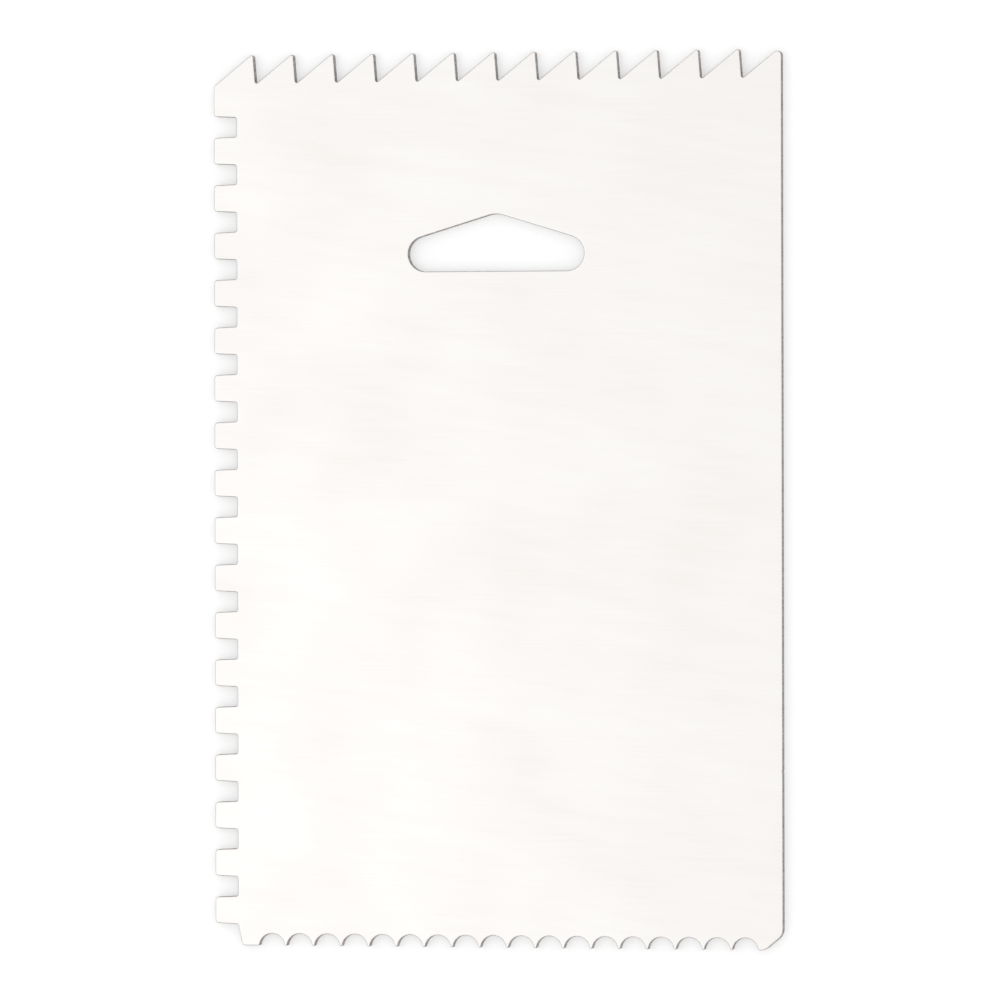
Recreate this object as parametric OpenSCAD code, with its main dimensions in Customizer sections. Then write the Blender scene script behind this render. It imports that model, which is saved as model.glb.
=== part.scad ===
// Icing smoother: one flat stamped aluminium sheet whose four edges are four tools.
// The top edge is a saw, the left edge has square teeth, the bottom edge has scallops and the
// right edge is the plain smoothing blade. A long peaked slot takes a finger or a hook.
// The sheet lies on its back: the X-Y plane is the back face, Z runs through the thickness,
// +Y points at the saw edge and +X at the plain edge. The origin is the middle of the back face.

/* [Sheet] */
// Width over the square teeth and the plain edge
plate_w = 90.7; // [87:0.1:110]
// Height over the saw tips and the scallop tips
plate_h = 140; // [126:1:170]
// Thickness of the sheet
sheet_t = 1.5; // [0.8:0.1:2.5]

/* [Saw edge] */
// Number of saw teeth along the top
saw_count = 14; // [10:1:18]
// Extra run of the first ramp at the left corner
saw_lead = 0.06; // [0:0.02:2]
// Slope of a tooth's long side above the horizontal, in degrees
saw_ramp = 38.8; // [25:0.1:45]
// Lean of a tooth's short side from the vertical, in degrees
saw_lean = 4.6; // [1:0.1:12]
// Radius at a saw tip
saw_tip_r = 0.3; // [0.15:0.05:0.5]
// Radius at the foot of a saw gap
saw_root_r = 0.25; // [0.15:0.05:0.5]
// Radius at the last tip, on the plain edge's corner
saw_end_r = 0.7; // [0.45:0.05:1]
// Radius where the first ramp meets the left edge
saw_start_r = 0.6; // [0.3:0.1:1.5]

/* [Square teeth] */
// Number of gaps down the left edge, the last one open at the foot
gap_count = 18; // [12:1:20]
// Distance from the saw tips down to the middle of the first gap
gap_first = 11.27; // [10.6:0.01:14]
// Height of the shoulder of the last gap above the bottom edge
foot_h = 3.34; // [2.5:0.02:8]
// Depth of a gap
gap_depth = 3.65; // [2:0.05:4.5]
// Height of a gap at its inner end
gap_root_w = 3.05; // [2:0.05:3.8]
// Flare of a gap's sides, in degrees
gap_flare = 2.5; // [0.5:0.5:6]
// Radius at the outer corners of the teeth
tooth_r = 0.5; // [0.2:0.05:0.8]
// Radius at the inner corners of the gaps
gap_root_r = 0.28; // [0.15:0.01:0.6]

/* [Scallops] */
// Number of scallops along the bottom
scallop_count = 18; // [14:1:19]
// Depth of a scallop
scallop_depth = 1.9; // [1.2:0.05:2.05]
// Radius at the tips between scallops
scallop_tip_r = 0.22; // [0.15:0.01:0.4]
// Flat land between the left edge and the first scallop
land_left = 3.25; // [1.75:0.05:8]
// Distance from the plain edge to the last scallop
land_right = 3.73; // [3.61:0.02:10]

/* [Bottom corners] */
// Inward lean of the lower left corner
foot_lean = 0.7; // [0.2:0.1:1.2]
// Radius at the lower left corner
foot_r = 0.5; // [0.2:0.1:1]
// Width of the cut-off lower right corner
cut_w = 2.9; // [1.5:0.1:3]
// Height of the cut-off lower right corner
cut_h = 2.4; // [1.5:0.1:4]
// Radius that blends the cut-off corner into both edges
cut_r = 2; // [0.5:0.1:2.2]

/* [Hang slot] */
// Width of the slot
slot_w = 28.1; // [22:0.1:34]
// Distance from the saw tips down to the straight floor of the slot
slot_drop = 34.2; // [22:0.1:60]
// Radius of the slot's two round ends
slot_end_r = 2.76; // [2:0.02:4]
// Slope of the slot's roof, in degrees
slot_slope = 17; // [5:0.5:22]
// Radius at the peak of the roof
slot_peak_r = 4; // [1:0.5:8]

/* [Hidden] */
$fn = 64;

right = plate_w / 2;
top = plate_h / 2;
// How far an arc runs past the two sides that it blends, so that it crosses them cleanly
cross = 0.002;
// How far a corner's sliver reaches past the corner's sides
overlap = 0.1;

saw_pitch = (plate_w - saw_lead) / saw_count;
saw_last = saw_count - 1;
// Drop from a saw tooth's sharp tip to the sharp foot of its gap
saw_fall = saw_pitch * tan(saw_ramp) / (1 + tan(saw_lean) * tan(saw_ramp));
// Half of the run of a tooth's leaning short side
saw_sway = saw_fall * tan(saw_lean) / 2;
// The sharp tip stands above the top edge by what its rounding takes away
saw_half_angle = (90 - saw_ramp + saw_lean) / 2;
saw_tip_rise = saw_tip_r * cos(45 - (saw_ramp + saw_lean) / 2) / sin(saw_half_angle);
saw_tip_y = top - cross - saw_tip_r + saw_tip_rise;
saw_root_y = saw_tip_y - saw_fall;
saw_end_y = saw_root_y + (saw_pitch - saw_sway) * tan(saw_ramp);

gap_pitch = (plate_h - gap_first - foot_h + gap_root_w / 2) / (gap_count - 1);
gap_mouth_w = gap_root_w + 2 * gap_depth * tan(gap_flare);
inner = -right + gap_depth;

row_from = inner + land_left;
row_to = right - land_right;
scallop_pitch = (row_to - row_from) / scallop_count;
// A scallop's radius that runs smoothly into the round tips beside it
scallop_r = (pow(scallop_pitch / 2, 2) + pow(scallop_depth, 2)) / (2 * scallop_depth) - scallop_tip_r;
scallop_y = -top + scallop_depth - scallop_r;
row_floor = -top - scallop_depth;

slot_y = top - slot_drop;
slot_reach = slot_w / 2 - slot_end_r;
slot_roof_y = slot_y + slot_end_r + slot_end_r / cos(slot_slope) + slot_reach * tan(slot_slope);

function saw_edge_x(k) = right - (saw_last - k) * saw_pitch;
function saw_tip(k) = [saw_edge_x(k) - saw_sway, saw_tip_y];
function saw_root(k) = [saw_edge_x(k) + saw_sway, saw_root_y];
function gap_y(k) = top - gap_first - k * gap_pitch;
function tip_x(k) = row_from + k * scallop_pitch;

saw_start = [-right, saw_tip_y - (saw_tip(0)[0] + right) * tan(saw_ramp)];
saw_end = [right, saw_end_y];
foot = [inner + foot_lean, -top];
foot_angle = atan2(gap_y(gap_count - 1) + gap_root_w / 2 + top, -foot_lean);
cut_angle = atan2(cut_h, cut_w);

// The outline with sharp corners, anticlockwise from the upper left corner
outline = concat(
    [saw_start],
    [for (k = [0:gap_count - 2]) for (p = gap_corners(k)) p],
    [[-right, gap_y(gap_count - 1) + gap_mouth_w / 2]],
    [[inner, gap_y(gap_count - 1) + gap_root_w / 2]],
    [foot],
    [[row_from, -top], [row_from, row_floor], [row_to, row_floor], [row_to, -top]],
    [[right - cut_w, -top], [right, -top + cut_h]],
    [saw_end],
    [for (k = [saw_last - 1:-1:0]) for (p = [saw_root(k), saw_tip(k)]) p]
);

// The four corners of one square gap, from its upper outer corner down
function gap_corners(k) = [
    [-right, gap_y(k) + gap_mouth_w / 2],
    [inner, gap_y(k) + gap_root_w / 2],
    [inner, gap_y(k) - gap_root_w / 2],
    [-right, gap_y(k) - gap_mouth_w / 2]
];

// The sliver between a sharp corner and the arc of radius r that rounds it.
// Its two sides leave the corner in the directions from and to, with from below to.
module corner_sliver(at, from, to, r) {
    half = (to - from) / 2;
    middle = (from + to) / 2;
    centre = at + r / sin(half) * [cos(middle), sin(middle)];
    difference() {
        polygon([
            centre,
            centre + (r + overlap) * [cos(to + 90), sin(to + 90)],
            centre - (r + overlap) / sin(half) * [cos(middle), sin(middle)],
            centre + (r + overlap) * [cos(from - 90), sin(from - 90)]
        ]);
        translate(centre)
            circle(r = r + cross);
    }
}

// Slivers taken off the points of the saw
module saw_tip_slivers() {
    for (k = [0:saw_last - 1])
        corner_sliver(saw_tip(k), 180 + saw_ramp, 270 + saw_lean, saw_tip_r);
    corner_sliver(saw_end, 180 + saw_ramp, 270, saw_end_r);
    corner_sliver(saw_start, -90, saw_ramp, saw_start_r);
}

// Slivers added in the feet of the saw gaps
module saw_root_slivers() {
    for (k = [0:saw_last - 1])
        corner_sliver(saw_root(k), saw_ramp, 90 + saw_lean, saw_root_r);
}

// Slivers taken off the outer corners of the square teeth
module tooth_slivers() {
    for (k = [0:gap_count - 1])
        corner_sliver([-right, gap_y(k) + gap_mouth_w / 2], -gap_flare, 90, tooth_r);
    for (k = [0:gap_count - 2])
        corner_sliver([-right, gap_y(k) - gap_mouth_w / 2], -90, gap_flare, tooth_r);
}

// Slivers added in the inner corners of the square gaps
module gap_root_slivers() {
    for (k = [0:gap_count - 2])
        corner_sliver([inner, gap_y(k) + gap_root_w / 2], 180 - gap_flare, 270, gap_root_r);
    for (k = [0:gap_count - 2])
        corner_sliver([inner, gap_y(k) - gap_root_w / 2], 90, 180 + gap_flare, gap_root_r);
    corner_sliver(
        [inner, gap_y(gap_count - 1) + gap_root_w / 2],
        180 - gap_flare,
        180 + foot_angle,
        gap_root_r
    );
}

// Slivers taken off the two bottom corners
module bottom_corner_slivers() {
    corner_sliver(foot, 0, foot_angle, foot_r);
    corner_sliver([right - cut_w, -top], cut_angle, 180, cut_r);
    corner_sliver([right, -top + cut_h], 90, 180 + cut_angle, cut_r);
}

// The ground between two scallops below their centres, less the round tip that stays.
// side_from and side_to are 0 or the pitch's half: how far the ground reaches to each side.
module scallop_tip_ground(k, side_from, side_to) {
    half_pitch = scallop_pitch / 2;
    difference() {
        polygon([
            [tip_x(k), -top + scallop_tip_r],
            [tip_x(k) - side_from * half_pitch, side_from * scallop_y + (1 - side_from) * -top],
            [tip_x(k) - side_from * half_pitch, row_floor - 1],
            [tip_x(k) + side_to * half_pitch, row_floor - 1],
            [tip_x(k) + side_to * half_pitch, side_to * scallop_y + (1 - side_to) * -top]
        ]);
        translate([tip_x(k), -top + scallop_tip_r])
            circle(r = scallop_tip_r);
    }
}

// Everything that the scallops take away along the bottom edge
module scallop_row() {
    for (k = [0:scallop_count - 1])
        translate([tip_x(k) + scallop_pitch / 2, scallop_y])
            circle(r = scallop_r + cross);
    for (k = [1:scallop_count - 1])
        scallop_tip_ground(k, 1, 1);
    scallop_tip_ground(0, 0, 1);
    scallop_tip_ground(scallop_count, 1, 0);
}

// The long slot: straight floor, round ends and a peaked roof
module hang_slot() {
    shoulder = slot_end_r * [sin(slot_slope), cos(slot_slope)];
    difference() {
        union() {
            polygon([
                [-slot_reach, slot_y],
                [slot_reach, slot_y],
                [slot_reach + shoulder[0], slot_y + slot_end_r + shoulder[1]],
                [0, slot_roof_y],
                [-slot_reach - shoulder[0], slot_y + slot_end_r + shoulder[1]]
            ]);
            for (side = [-1, 1])
                translate([side * slot_reach, slot_y + slot_end_r])
                    circle(r = slot_end_r + cross);
        }
        corner_sliver([0, slot_roof_y], 180 + slot_slope, 360 - slot_slope, slot_peak_r);
    }
}

module comb_plate() {
    color([0.92, 0.91, 0.90])
        linear_extrude(height = sheet_t)
            difference() {
                union() {
                    polygon(outline);
                    saw_root_slivers();
                    gap_root_slivers();
                }
                saw_tip_slivers();
                tooth_slivers();
                bottom_corner_slivers();
                scallop_row();
                hang_slot();
            }
}

comb_plate();
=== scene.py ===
"""Icing smoother: one flat stamped aluminium sheet whose four edges are four tools.

The sheet lies on its back on a white table. X runs towards the plain edge, Y towards the
saw edge and Z up through the thickness. Sizes are in millimetres and meshes in metres.
"""

import logging
from dataclasses import dataclass, field
from enum import Enum
from math import atan2, ceil, cos, pi, radians, sin, tan
from typing import Any

import bpy
from mathutils import Matrix, Vector
from mathutils.geometry import tessellate_polygon

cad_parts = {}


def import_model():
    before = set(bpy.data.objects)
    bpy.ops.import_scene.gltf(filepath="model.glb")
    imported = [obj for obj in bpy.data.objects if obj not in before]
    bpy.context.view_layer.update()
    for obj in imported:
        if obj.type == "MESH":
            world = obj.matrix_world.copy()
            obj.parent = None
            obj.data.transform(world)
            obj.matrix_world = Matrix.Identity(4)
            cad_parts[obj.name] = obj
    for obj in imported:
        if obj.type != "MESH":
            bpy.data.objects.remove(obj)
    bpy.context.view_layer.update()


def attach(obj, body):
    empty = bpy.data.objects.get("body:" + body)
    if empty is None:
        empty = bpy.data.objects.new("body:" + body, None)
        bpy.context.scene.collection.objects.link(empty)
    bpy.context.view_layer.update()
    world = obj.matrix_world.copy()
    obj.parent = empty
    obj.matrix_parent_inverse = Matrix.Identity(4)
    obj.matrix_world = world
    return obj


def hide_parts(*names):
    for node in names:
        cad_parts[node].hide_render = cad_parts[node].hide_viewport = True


MM = 0.001
LOG = logging.getLogger("icing_smoother")

# How finely an arc is drawn. The length of a step, in millimetres, asks for MOST_SHORT_STEPS at most
FEWEST_STEPS = 4
WIDEST_STEP = radians(15)
LONGEST_STEP = 0.12
MOST_SHORT_STEPS = 16


class Skin(Enum):
    """Which finish a stretch of the sheet's surface has, by its place among the materials."""

    BRUSHED = 0
    # The darker cut-wall finish, whose dark tone is partly painted shade
    SHEARED_AND_SHADED = 1


@dataclass(frozen=True)
class Corner:
    """A corner of an outline before it is rounded, in millimetres."""

    x: float
    y: float
    radius: float


@dataclass(frozen=True)
class EdgePoint:
    """A point on the finished outline with the direction that faces out of the metal."""

    x: float
    y: float
    out_x: float
    out_y: float


@dataclass(frozen=True)
class Ring:
    """One level of the cut wall: how far it stands inside the outline and how high."""

    inset: float
    height: float
    skin: Skin


def linear(colour: str) -> tuple[float, float, float, float]:
    """Turns an sRGB hex colour into Blender's linear one.

    Args:
        colour: Six hex digits after a hash, such as "#F2F0EC".

    Returns:
        Red, green, blue and full alpha, in linear light.
    """
    parts = [int(colour[i:i + 2], 16) / 255 for i in (1, 3, 5)]
    light = [p / 12.92 if p <= 0.04045 else ((p + 0.055) / 1.055) ** 2.4 for p in parts]
    return (light[0], light[1], light[2], 1.0)


def add_node(tree: Any, kind: str, links: dict[Any, Any] | None = None, **settings: Any) -> Any:
    """Adds a node, sets it up and links its inputs.

    Args:
        tree: The node tree to add to.
        kind: The node's type name.
        links: Input name or number to a value, or to the output socket that feeds it.
        settings: Properties of the node itself.

    Returns:
        The new node.
    """
    node = tree.nodes.new(kind)
    for name, value in settings.items():
        setattr(node, name, value)
    for place, value in (links or {}).items():
        if isinstance(value, bpy.types.NodeSocket):
            tree.links.new(value, node.inputs[place])
        else:
            node.inputs[place].default_value = value
    return node


def arc(
    centre: tuple[float, float], radius: float, side: int, start: float, turn: float
) -> list[EdgePoint]:
    """Points along one arc of the outline.

    Args:
        centre: Centre of the arc, in millimetres.
        radius: Radius of the arc, in millimetres.
        side: 1 where the metal bulges out, -1 where it is hollow.
        start: Outward direction at the first point, in radians.
        turn: How far the outward direction turns along the arc, in radians.

    Returns:
        The points, both ends included.
    """
    short_steps = min(MOST_SHORT_STEPS, ceil(radius * abs(turn) / LONGEST_STEP))
    steps = max(FEWEST_STEPS, ceil(abs(turn) / WIDEST_STEP), short_steps)
    angles = [start + turn * i / steps for i in range(steps + 1)]
    return [
        EdgePoint(
            centre[0] + side * radius * cos(a),
            centre[1] + side * radius * sin(a),
            cos(a),
            sin(a),
        )
        for a in angles
    ]


def rounded(chain: list[Corner]) -> list[EdgePoint]:
    """Rounds every corner of an open chain except its two ends.

    Args:
        chain: Corners in order, with the metal on the left of the way along them.

    Returns:
        The points of all the arcs, which straight sides join.
    """
    points: list[EdgePoint] = []
    for before, corner, after in zip(chain, chain[1:], chain[2:]):
        way_in = Vector((corner.x - before.x, corner.y - before.y)).normalized()
        way_out = Vector((after.x - corner.x, after.y - corner.y)).normalized()
        turn = atan2(way_in.x * way_out.y - way_in.y * way_out.x, way_in.dot(way_out))
        side = 1 if turn > 0 else -1
        reach = corner.radius * tan(abs(turn) / 2)
        centre = (
            corner.x - way_in.x * reach - side * corner.radius * way_in.y,
            corner.y - way_in.y * reach + side * corner.radius * way_in.x,
        )
        points += arc(centre, corner.radius, side, atan2(-way_in.x, way_in.y), turn)
    return points


class MetalFinish:
    """What both finishes share: an empty material, marks of a real size and the metal itself."""

    def begin(self, name: str) -> tuple[Any, Any, Any]:
        """Starts a material.

        Args:
            name: The material's name.

        Returns:
            The material, its empty node tree and the socket with the place on the sheet.
        """
        material = bpy.data.materials.new(name)
        material.use_nodes = True
        tree = material.node_tree
        tree.nodes.clear()
        return material, tree, add_node(tree, "ShaderNodeTexCoord").outputs["Object"]

    def marks(self, tree: Any, place: Any, size: tuple[float, ...], detail: float, lean: float) -> Any:
        """Adds noise whose marks have a real size.

        Args:
            tree: The node tree to add to.
            place: Socket with the place on the sheet, in metres.
            size: Size of one mark along X, Y and Z, in millimetres.
            detail: Levels of finer noise inside a mark.
            lean: Turn of the marks about Z, in radians.

        Returns:
            The socket with the noise, about 0.5 on average.
        """
        turned = add_node(tree, "ShaderNodeMapping", {"Vector": place, "Rotation": (0.0, 0.0, lean)})
        scale = tuple(1 / (side * MM) for side in size)
        sized = add_node(tree, "ShaderNodeMapping", {"Vector": turned.outputs[0], "Scale": scale})
        links = {"Vector": sized.outputs[0], "Scale": 1.0, "Detail": detail}
        return add_node(tree, "ShaderNodeTexNoise", links).outputs[0]

    def end(self, tree: Any, colour: Any, roughness: Any, normal: Any) -> None:
        """Adds the bare metal's shader and the output.

        Args:
            tree: The node tree to add to.
            colour: Node that gives the metal's colour.
            roughness: Node that gives its roughness.
            normal: Node that gives the fine relief.
        """
        shader = add_node(
            tree,
            "ShaderNodeBsdfPrincipled",
            {
                "Base Color": colour.outputs[0],
                "Metallic": 1.0,
                "Roughness": roughness.outputs[0],
                "Normal": normal.outputs[0],
            },
        )
        add_node(tree, "ShaderNodeOutputMaterial", {"Surface": shader.outputs[0]})


@dataclass(frozen=True)
class BrushedAluminium(MetalFinish):
    """Rolled aluminium sheet, brushed along X: a pale soft satin with faint level grain."""

    name: str = "brushed_aluminium"
    light: str = "#F3F1EF"
    dull: str = "#EFECE9"
    speck: str = "#B9B4AC"
    # Real grain lines are about 0.1 mm apart, finer than a pixel here, so they are drawn wider
    grain_gap: float = 0.34
    grain_run: float = 14.0
    grain_detail: float = 3.0
    cloud_size: float = 22.0
    cloud_detail: float = 2.0
    # Handling leaves long scuffs that lean a little across the grain
    scuff_gap: float = 2.6
    scuff_run: float = 30.0
    scuff_detail: float = 2.0
    scuff_lean: float = 0.2
    # The three noises added up, where the tone is lightest and where it is dullest
    tone_range: tuple[float, float] = (1.1, 1.9)
    speck_spacing: float = 19.0
    speck_size: float = 0.28
    # Share of a speck that is fully dark, before its edge fades
    speck_core: float = 0.6
    satin_range: tuple[float, float] = (0.35, 0.65)
    smooth: float = 0.36
    rough: float = 0.46
    grain_depth: float = 0.006
    grain_strength: float = 0.35

    def make(self) -> Any:
        """Builds the material and returns it."""
        material, tree, place = self.begin(self.name)
        grain_size = (self.grain_run, self.grain_gap, self.grain_run)
        scuff_size = (self.scuff_run, self.scuff_gap, self.scuff_run)
        grain = self.marks(tree, place, grain_size, self.grain_detail, 0.0)
        clouds = self.marks(tree, place, (self.cloud_size,) * 3, self.cloud_detail, 0.0)
        scuffs = self.marks(tree, place, scuff_size, self.scuff_detail, self.scuff_lean)
        tone = add_node(tree, "ShaderNodeMath", {0: grain, 1: clouds}, operation="ADD")
        tone = add_node(tree, "ShaderNodeMath", {0: tone.outputs[0], 1: scuffs}, operation="ADD")
        tone = add_node(
            tree,
            "ShaderNodeMapRange",
            {"Value": tone.outputs[0], "From Min": self.tone_range[0], "From Max": self.tone_range[1]},
        )
        metal = add_node(
            tree,
            "ShaderNodeMixRGB",
            {"Fac": tone.outputs[0], "Color1": linear(self.light), "Color2": linear(self.dull)},
        )
        colour = add_node(
            tree,
            "ShaderNodeMixRGB",
            {
                "Fac": self.specks(tree, place),
                "Color1": metal.outputs[0],
                "Color2": linear(self.speck),
            },
        )
        satin = add_node(
            tree,
            "ShaderNodeMapRange",
            {
                "Value": clouds,
                "From Min": self.satin_range[0],
                "From Max": self.satin_range[1],
                "To Min": self.smooth,
                "To Max": self.rough,
            },
        )
        relief = add_node(
            tree,
            "ShaderNodeBump",
            {"Strength": self.grain_strength, "Distance": self.grain_depth * MM, "Height": grain},
        )
        self.end(tree, colour, satin, relief)
        return material

    def specks(self, tree: Any, place: Any) -> Any:
        """Adds small dark specks, one in a cell at most.

        Args:
            tree: The node tree to add to.
            place: Socket with the place on the sheet, in metres.

        Returns:
            The socket that is 1 on a speck and 0 elsewhere.
        """
        per_metre = 1 / (self.speck_spacing * MM)
        cells = add_node(tree, "ShaderNodeTexVoronoi", {"Vector": place, "Scale": per_metre})
        edge = self.speck_size / self.speck_spacing
        dots = add_node(
            tree,
            "ShaderNodeMapRange",
            {
                "Value": cells.outputs["Distance"],
                "From Min": edge * self.speck_core,
                "From Max": edge,
                "To Min": 1.0,
                "To Max": 0.0,
            },
        )
        return dots.outputs[0]


@dataclass(frozen=True)
class ShearedAluminiumAndShade(MetalFinish):
    """The wall that the stamping die cut: torn, striped through the thickness and darker, partly as painted
    shade for walls that face away from the lamp.
    """

    name: str = "sheared_aluminium_and_shade"
    # Grey of rough cut metal, darkened further as painted shade for walls that face away from the lamp
    burnished_and_shade: str = "#AEAAA8"
    torn_and_shade: str = "#878382"
    # Die lines are about 0.05 mm apart, finer than a pixel here, so they are drawn wider
    stripe_gap: float = 0.22
    stripe_height: float = 4.0
    stripe_detail: float = 3.0
    tone_range: tuple[float, float] = (0.35, 0.65)
    satin_range: tuple[float, float] = (0.3, 0.7)
    smooth: float = 0.45
    rough: float = 0.62
    stripe_depth: float = 0.01
    stripe_strength: float = 0.5

    def make(self) -> Any:
        """Builds the material and returns it."""
        material, tree, place = self.begin(self.name)
        stripe_size = (self.stripe_gap, self.stripe_gap, self.stripe_height)
        stripes = self.marks(tree, place, stripe_size, self.stripe_detail, 0.0)
        tone = add_node(
            tree,
            "ShaderNodeMapRange",
            {"Value": stripes, "From Min": self.tone_range[0], "From Max": self.tone_range[1]},
        )
        colour = add_node(
            tree,
            "ShaderNodeMixRGB",
            {"Fac": tone.outputs[0], "Color1": linear(self.burnished_and_shade), "Color2": linear(self.torn_and_shade)},
        )
        satin = add_node(
            tree,
            "ShaderNodeMapRange",
            {
                "Value": stripes,
                "From Min": self.satin_range[0],
                "From Max": self.satin_range[1],
                "To Min": self.smooth,
                "To Max": self.rough,
            },
        )
        relief = add_node(
            tree,
            "ShaderNodeBump",
            {"Strength": self.stripe_strength, "Distance": self.stripe_depth * MM, "Height": stripes},
        )
        self.end(tree, colour, satin, relief)
        return material


@dataclass
class SheetDraft:
    """The sheet's points and faces while they are drawn, with each face's finish."""

    points: list[tuple[float, float, float]] = field(default_factory=list)
    faces: list[tuple[int, ...]] = field(default_factory=list)
    skins: list[int] = field(default_factory=list)
    smooth: list[bool] = field(default_factory=list)
    # Number of the first point of each edge
    starts: list[int] = field(default_factory=list)

    def add(self, face: tuple[int, ...], skin: Skin, smooth: bool) -> None:
        """Adds one face.

        Args:
            face: Numbers of the face's points, anticlockwise from outside.
            skin: The face's finish.
            smooth: Whether the light runs smoothly over it into its neighbours.
        """
        self.faces.append(face)
        self.skins.append(skin.value)
        self.smooth.append(smooth)


@dataclass
class CombPlate:
    """The stamped sheet: its outline, its slot, its cut walls and its two finishes."""

    name: str = "smoother_plate"
    plate_w: float = 90.7
    plate_h: float = 140.0
    sheet_t: float = 1.5
    saw_count: int = 14
    saw_lead: float = 0.06
    saw_ramp: float = radians(38.8)
    saw_lean: float = radians(4.6)
    saw_tip_r: float = 0.3
    saw_root_r: float = 0.25
    saw_end_r: float = 0.7
    saw_start_r: float = 0.6
    gap_count: int = 18
    gap_first: float = 11.27
    foot_h: float = 3.34
    gap_depth: float = 3.65
    gap_root_w: float = 3.05
    gap_flare: float = radians(2.5)
    tooth_r: float = 0.5
    gap_root_r: float = 0.28
    scallop_count: int = 18
    scallop_depth: float = 1.9
    scallop_tip_r: float = 0.22
    land_left: float = 3.25
    land_right: float = 3.73
    foot_lean: float = 0.7
    foot_r: float = 0.5
    cut_w: float = 2.9
    cut_h: float = 2.4
    cut_r: float = 2.0
    slot_w: float = 28.1
    slot_drop: float = 34.2
    slot_end_r: float = 2.76
    slot_slope: float = radians(17)
    slot_peak_r: float = 4.0
    # A small dent that wear left in the plain edge
    nick_drop: float = 112.2
    nick_w: float = 0.5
    nick_depth: float = 0.1
    nick_r: float = 0.3
    # The die rolls the front rim over, tears the lower wall and leaves a fine break at the back
    roll_r: float = 0.19
    roll_steps: int = 5
    # The steep lower part of the roll takes the darker finish of the wall below it, as painted shade on the
    # rims that face away from the lamp
    shaded_roll_steps: int = 3
    tear_h: float = 0.55
    tear_inset: float = 0.03
    # Height of the deepest place of the tear, as a share of the torn band
    tear_middle: float = 0.6
    break_size: float = 0.05
    finishes: list[Any] = field(default_factory=lambda: [BrushedAluminium(), ShearedAluminiumAndShade()])

    def saw_corners(self) -> list[Corner]:
        """Returns the saw's corners from the plain edge's tip back to the square teeth."""
        right = self.plate_w / 2
        pitch = (self.plate_w - self.saw_lead) / self.saw_count
        last = self.saw_count - 1
        fall = pitch * tan(self.saw_ramp) / (1 + tan(self.saw_lean) * tan(self.saw_ramp))
        sway = fall * tan(self.saw_lean) / 2
        half_angle = (pi / 2 - self.saw_ramp + self.saw_lean) / 2
        tip_rise = self.saw_tip_r * cos(pi / 4 - (self.saw_ramp + self.saw_lean) / 2) / sin(half_angle)
        tip_y = self.plate_h / 2 - self.saw_tip_r + tip_rise
        root_y = tip_y - fall
        corners = [Corner(right, root_y + (pitch - sway) * tan(self.saw_ramp), self.saw_end_r)]
        for tooth in reversed(range(last)):
            edge_x = right - (last - tooth) * pitch
            corners.append(Corner(edge_x + sway, root_y, self.saw_root_r))
            corners.append(Corner(edge_x - sway, tip_y, self.saw_tip_r))
        first_tip = corners[-1].x
        start_y = tip_y - (first_tip + right) * tan(self.saw_ramp)
        return corners + [Corner(-right, start_y, self.saw_start_r)]

    def square_corners(self) -> list[Corner]:
        """Returns the corners of the square gaps down the left edge, and the foot's corner."""
        left = -self.plate_w / 2
        inner = left + self.gap_depth
        rows = self.gap_count - 1
        pitch = (self.plate_h - self.gap_first - self.foot_h + self.gap_root_w / 2) / rows
        mouth = self.gap_root_w / 2 + self.gap_depth * tan(self.gap_flare)
        root = self.gap_root_w / 2
        corners: list[Corner] = []
        for row in range(self.gap_count):
            middle = self.plate_h / 2 - self.gap_first - row * pitch
            corners.append(Corner(left, middle + mouth, self.tooth_r))
            corners.append(Corner(inner, middle + root, self.gap_root_r))
            if row < rows:
                corners.append(Corner(inner, middle - root, self.gap_root_r))
                corners.append(Corner(left, middle - mouth, self.tooth_r))
        return corners + [Corner(inner + self.foot_lean, -self.plate_h / 2, self.foot_r)]

    def plain_corners(self) -> list[Corner]:
        """Returns the cut-off lower corner and the nick in the plain edge, from below up."""
        right = self.plate_w / 2
        bottom = -self.plate_h / 2
        nick_y = self.plate_h / 2 - self.nick_drop
        return [
            Corner(right - self.cut_w, bottom, self.cut_r),
            Corner(right, bottom + self.cut_h, self.cut_r),
            Corner(right, nick_y - self.nick_w / 2, self.nick_r),
            Corner(right - self.nick_depth, nick_y, self.nick_r),
            Corner(right, nick_y + self.nick_w / 2, self.nick_r),
        ]

    def scallop_points(self, row_from: float, pitch: float) -> list[EdgePoint]:
        """Points along the scallops, from their first tip to their last.

        Args:
            row_from: Place of the first tip along X.
            pitch: Distance between two tips.

        Returns:
            The points, where each arch runs smoothly into the round tips beside it.
        """
        bottom = -self.plate_h / 2
        rise = ((pitch / 2) ** 2 + self.scallop_depth ** 2) / (2 * self.scallop_depth)
        radius = rise - self.scallop_tip_r
        centre_y = bottom + self.scallop_depth - radius
        dip = atan2(bottom + self.scallop_tip_r - centre_y, pitch / 2)
        points: list[EdgePoint] = []
        for tip in range(self.scallop_count + 1):
            x = row_from + tip * pitch
            start = -pi / 2 if tip == 0 else dip - pi
            end = -pi / 2 if tip == self.scallop_count else -dip
            tip_centre = (x, bottom + self.scallop_tip_r)
            points += arc(tip_centre, self.scallop_tip_r, 1, start, end - start)
            if tip < self.scallop_count:
                arch = arc((x + pitch / 2, centre_y), radius, -1, -dip, 2 * dip - pi)
                points += arch[1:-1]
        return points

    def outline(self) -> list[EdgePoint]:
        """Returns the whole outer edge, anticlockwise from the cut-off corner."""
        bottom = -self.plate_h / 2
        row_from = -self.plate_w / 2 + self.gap_depth + self.land_left
        row_to = self.plate_w / 2 - self.land_right
        chain = [Corner(row_to, bottom, 0.0)]
        chain += self.plain_corners() + self.saw_corners() + self.square_corners()
        chain.append(Corner(row_from, bottom, 0.0))
        pitch = (row_to - row_from) / self.scallop_count
        return rounded(chain) + self.scallop_points(row_from, pitch)

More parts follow.
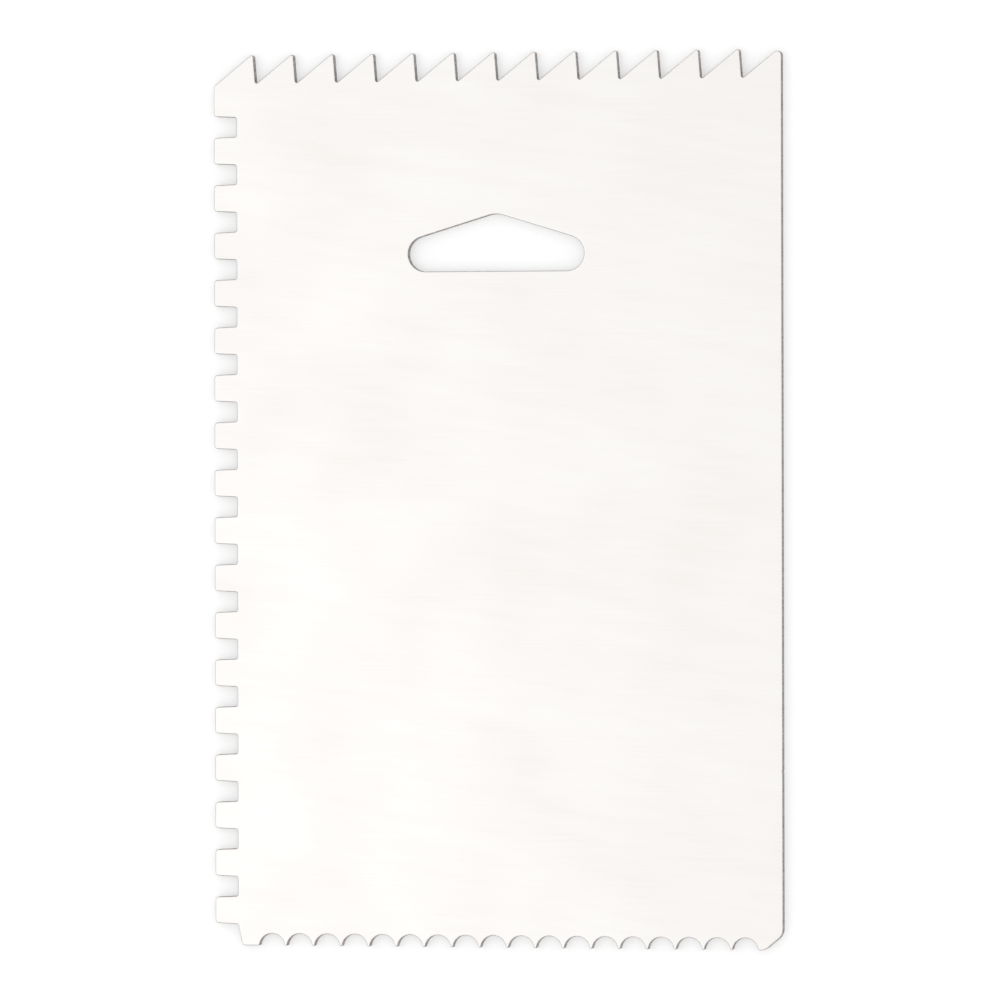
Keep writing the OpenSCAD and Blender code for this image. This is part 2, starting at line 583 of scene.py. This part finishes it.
    def slot(self) -> list[EdgePoint]:
        """Returns the slot's edge, clockwise: a low triangle with three round corners."""
        reach = self.slot_w / 2 - self.slot_end_r
        floor_y = self.plate_h / 2 - self.slot_drop
        height = self.slot_end_r * (1 + 1 / cos(self.slot_slope)) + reach * tan(self.slot_slope)
        far = height / tan(self.slot_slope)
        left = Corner(-far, floor_y, self.slot_end_r)
        peak = Corner(0.0, floor_y + height, self.slot_peak_r)
        end = Corner(far, floor_y, self.slot_end_r)
        return rounded([end, left, peak, end, left])

    def rings(self) -> list[Ring]:
        """Returns the levels of the cut wall, from the back face up to the front face."""
        levels = [
            Ring(self.break_size, 0.0, Skin.SHEARED_AND_SHADED),
            Ring(0.0, self.break_size, Skin.SHEARED_AND_SHADED),
            Ring(self.tear_inset, self.tear_h * self.tear_middle, Skin.SHEARED_AND_SHADED),
            Ring(0.0, self.tear_h, Skin.SHEARED_AND_SHADED),
        ]
        for step in range(self.roll_steps + 1):
            turn = pi / 2 * step / self.roll_steps
            height = self.sheet_t - self.roll_r * (1 - sin(turn))
            # The steep lower roll steps get the darker wall finish as painted shade
            skin = Skin.SHEARED_AND_SHADED if step <= self.shaded_roll_steps else Skin.BRUSHED
            levels.append(Ring(self.roll_r * (1 - cos(turn)), height, skin))
        return levels

    def walls(self, draft: SheetDraft, loops: list[list[EdgePoint]]) -> None:
        """Draws the cut walls and the rolled rim round both edges.

        Args:
            draft: The sheet's points and faces so far, which this adds to.
            loops: The outline and the slot's edge.
        """
        levels = self.rings()
        for loop in loops:
            draft.starts.append(len(draft.points))
            for ring in levels:
                for p in loop:
                    x = (p.x - ring.inset * p.out_x) * MM
                    y = (p.y - ring.inset * p.out_y) * MM
                    draft.points.append((x, y, ring.height * MM))
        for start, loop in zip(draft.starts, loops):
            count = len(loop)
            for level, upper in enumerate(levels[1:]):
                low = start + level * count
                high = low + count
                for i in range(count):
                    j = (i + 1) % count
                    draft.add((low + i, low + j, high + j, high + i), upper.skin, True)

    def flat_face(self, draft: SheetDraft, loops: list[list[EdgePoint]], level: int, up: bool) -> None:
        """Draws the back or the front face between the outline and the slot.

        Args:
            draft: The sheet's points and faces so far, which this adds to.
            loops: The outline and the slot's edge.
            level: Which ring of the wall the face closes.
            up: Whether the face looks up.
        """
        ids = [
            [start + level * len(loop) + i for i in range(len(loop))]
            for start, loop in zip(draft.starts, loops)
        ]
        numbers = [number for loop_ids in ids for number in loop_ids]
        lines = [[Vector(draft.points[number]) for number in loop_ids] for loop_ids in ids]
        for triangle in tessellate_polygon(lines):
            a, b, c = (numbers[place] for place in triangle)
            pa, pb, pc = (Vector(draft.points[number]) for number in (a, b, c))
            looks_up = (pb - pa).cross(pc - pa).z > 0
            draft.add((a, b, c) if looks_up == up else (a, c, b), Skin.BRUSHED, False)

    def build(self) -> Any:
        """Builds the sheet's mesh and returns its object."""
        loops = [self.outline(), self.slot()]
        draft = SheetDraft()
        self.walls(draft, loops)
        self.flat_face(draft, loops, 0, False)
        self.flat_face(draft, loops, len(self.rings()) - 1, True)
        mesh = bpy.data.meshes.new(self.name)
        mesh.from_pydata(draft.points, [], draft.faces)
        for finish in self.finishes:
            mesh.materials.append(finish.make())
        mesh.polygons.foreach_set("material_index", draft.skins)
        mesh.polygons.foreach_set("use_smooth", draft.smooth)
        mesh.update()
        plate = bpy.data.objects.new(self.name, mesh)
        bpy.context.scene.collection.objects.link(plate)
        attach(plate, "root")
        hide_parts("comb_plate")
        LOG.info("%s: %d points round the outline, %d faces", self.name, len(loops[0]), len(draft.faces))
        return plate


@dataclass
class Studio:
    """The white table, the soft light and the camera at the photograph's angle."""

    # The room is measured in metres, and only the table's gap below the sheet in millimetres
    floor_size: float = 6.0
    floor_drop: float = 0.05
    table: str = "#F5F5F5"
    table_glow: float = 0.37
    room_fill: float = 0.72
    key_place: tuple[float, float, float] = (-0.38, -0.10, 0.66)
    key_size: float = 0.42
    key_power: float = 0.25
    camera_angle: float = radians(12.0)
    camera_tilt: float = radians(0.2)
    camera_roll: float = radians(-0.122)
    camera_away: float = 1.3
    lens: float = 299.06
    sensor: float = 36.0
    shift: tuple[float, float] = (0.00164, 0.00008)

    def build(self) -> None:
        """Builds everything that isn't part of the object."""
        self.build_table()
        self.build_room()
        self.build_key_lamp()
        self.build_camera()
        LOG.info("studio: table, room, key lamp and camera")

    def build_table(self) -> None:
        """Lays the white table, which looks white to the camera and keeps the sheet's shadow."""
        half = self.floor_size / 2
        level = -self.floor_drop * MM
        mesh = bpy.data.meshes.new("table")
        corners = [(-half, -half, level), (half, -half, level), (half, half, level), (-half, half, level)]
        mesh.from_pydata(corners, [], [(0, 1, 2, 3)])
        material = bpy.data.materials.new("white_table")
        material.use_nodes = True
        tree = material.node_tree
        tree.nodes.clear()
        ray = add_node(tree, "ShaderNodeLightPath").outputs
        direct = {0: ray["Is Camera Ray"], 1: ray["Is Glossy Ray"]}
        seen = add_node(tree, "ShaderNodeMath", direct, operation="MAXIMUM")
        glowing = {0: seen.outputs[0], 1: self.table_glow}
        glow = add_node(tree, "ShaderNodeMath", glowing, operation="MULTIPLY")
        paint = add_node(tree, "ShaderNodeBsdfDiffuse", {"Color": linear(self.table)})
        light = add_node(tree, "ShaderNodeEmission", {"Strength": glow.outputs[0]})
        both = add_node(tree, "ShaderNodeAddShader", {0: paint.outputs[0], 1: light.outputs[0]})
        add_node(tree, "ShaderNodeOutputMaterial", {"Surface": both.outputs[0]})
        mesh.materials.append(material)
        floor = bpy.data.objects.new("table", mesh)
        bpy.context.scene.collection.objects.link(floor)

    def build_room(self) -> None:
        """Makes the room white to the eye and in the metal, and a plain fill elsewhere."""
        world = bpy.data.worlds.new("white_room")
        bpy.context.scene.world = world
        world.use_nodes = True
        tree = world.node_tree
        tree.nodes.clear()
        ray = add_node(tree, "ShaderNodeLightPath").outputs
        direct = {0: ray["Is Camera Ray"], 1: ray["Is Glossy Ray"]}
        seen = add_node(tree, "ShaderNodeMath", direct, operation="MAXIMUM")
        through = {0: seen.outputs[0], 1: ray["Is Transmission Ray"]}
        seen = add_node(tree, "ShaderNodeMath", through, operation="MAXIMUM")
        level = add_node(tree, "ShaderNodeMapRange", {"Value": seen.outputs[0], "To Min": self.room_fill})
        room = add_node(tree, "ShaderNodeBackground", {"Strength": level.outputs[0]})
        room.inputs["Color"].default_value = (1.0, 1.0, 1.0, 1.0)
        add_node(tree, "ShaderNodeOutputWorld", {"Surface": room.outputs[0]})

    def build_key_lamp(self) -> None:
        """Hangs one large soft lamp to the left, slightly below the sheet's middle."""
        lamp = bpy.data.lights.new("key_lamp", "AREA")
        lamp.size = self.key_size
        lamp.energy = self.key_power
        holder = bpy.data.objects.new("key_lamp", lamp)
        place = Vector(self.key_place)
        holder.matrix_world = Matrix.Translation(place) @ place.to_track_quat("Z", "Y").to_matrix().to_4x4()
        bpy.context.scene.collection.objects.link(holder)

    def build_camera(self) -> None:
        """Places the camera to the right of straight above, with the saw edge up."""
        back = Vector((sin(self.camera_angle), sin(self.camera_tilt), 0.0))
        back.z = (1 - back.length_squared) ** 0.5
        right = Vector((0.0, 1.0, 0.0)).cross(back).normalized()
        turn = Matrix.Rotation(self.camera_roll, 3, back)
        right = turn @ right
        up = back.cross(right)
        lens = bpy.data.cameras.new("camera")
        lens.sensor_width = self.sensor
        lens.lens = self.lens
        lens.shift_x, lens.shift_y = self.shift
        camera = bpy.data.objects.new("camera", lens)
        axes = Matrix((right, up, back)).transposed().to_4x4()
        camera.matrix_world = Matrix.Translation(back * self.camera_away) @ axes
        bpy.context.scene.collection.objects.link(camera)
        bpy.context.scene.camera = camera


def main() -> None:
    """Builds the sheet in the studio."""
    logging.basicConfig(level=logging.INFO)
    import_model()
    bpy.context.scene.view_settings.view_transform = "Standard"
    CombPlate().build()
    Studio().build()
    bpy.context.view_layer.update()


if __name__ == "__main__":
    main()
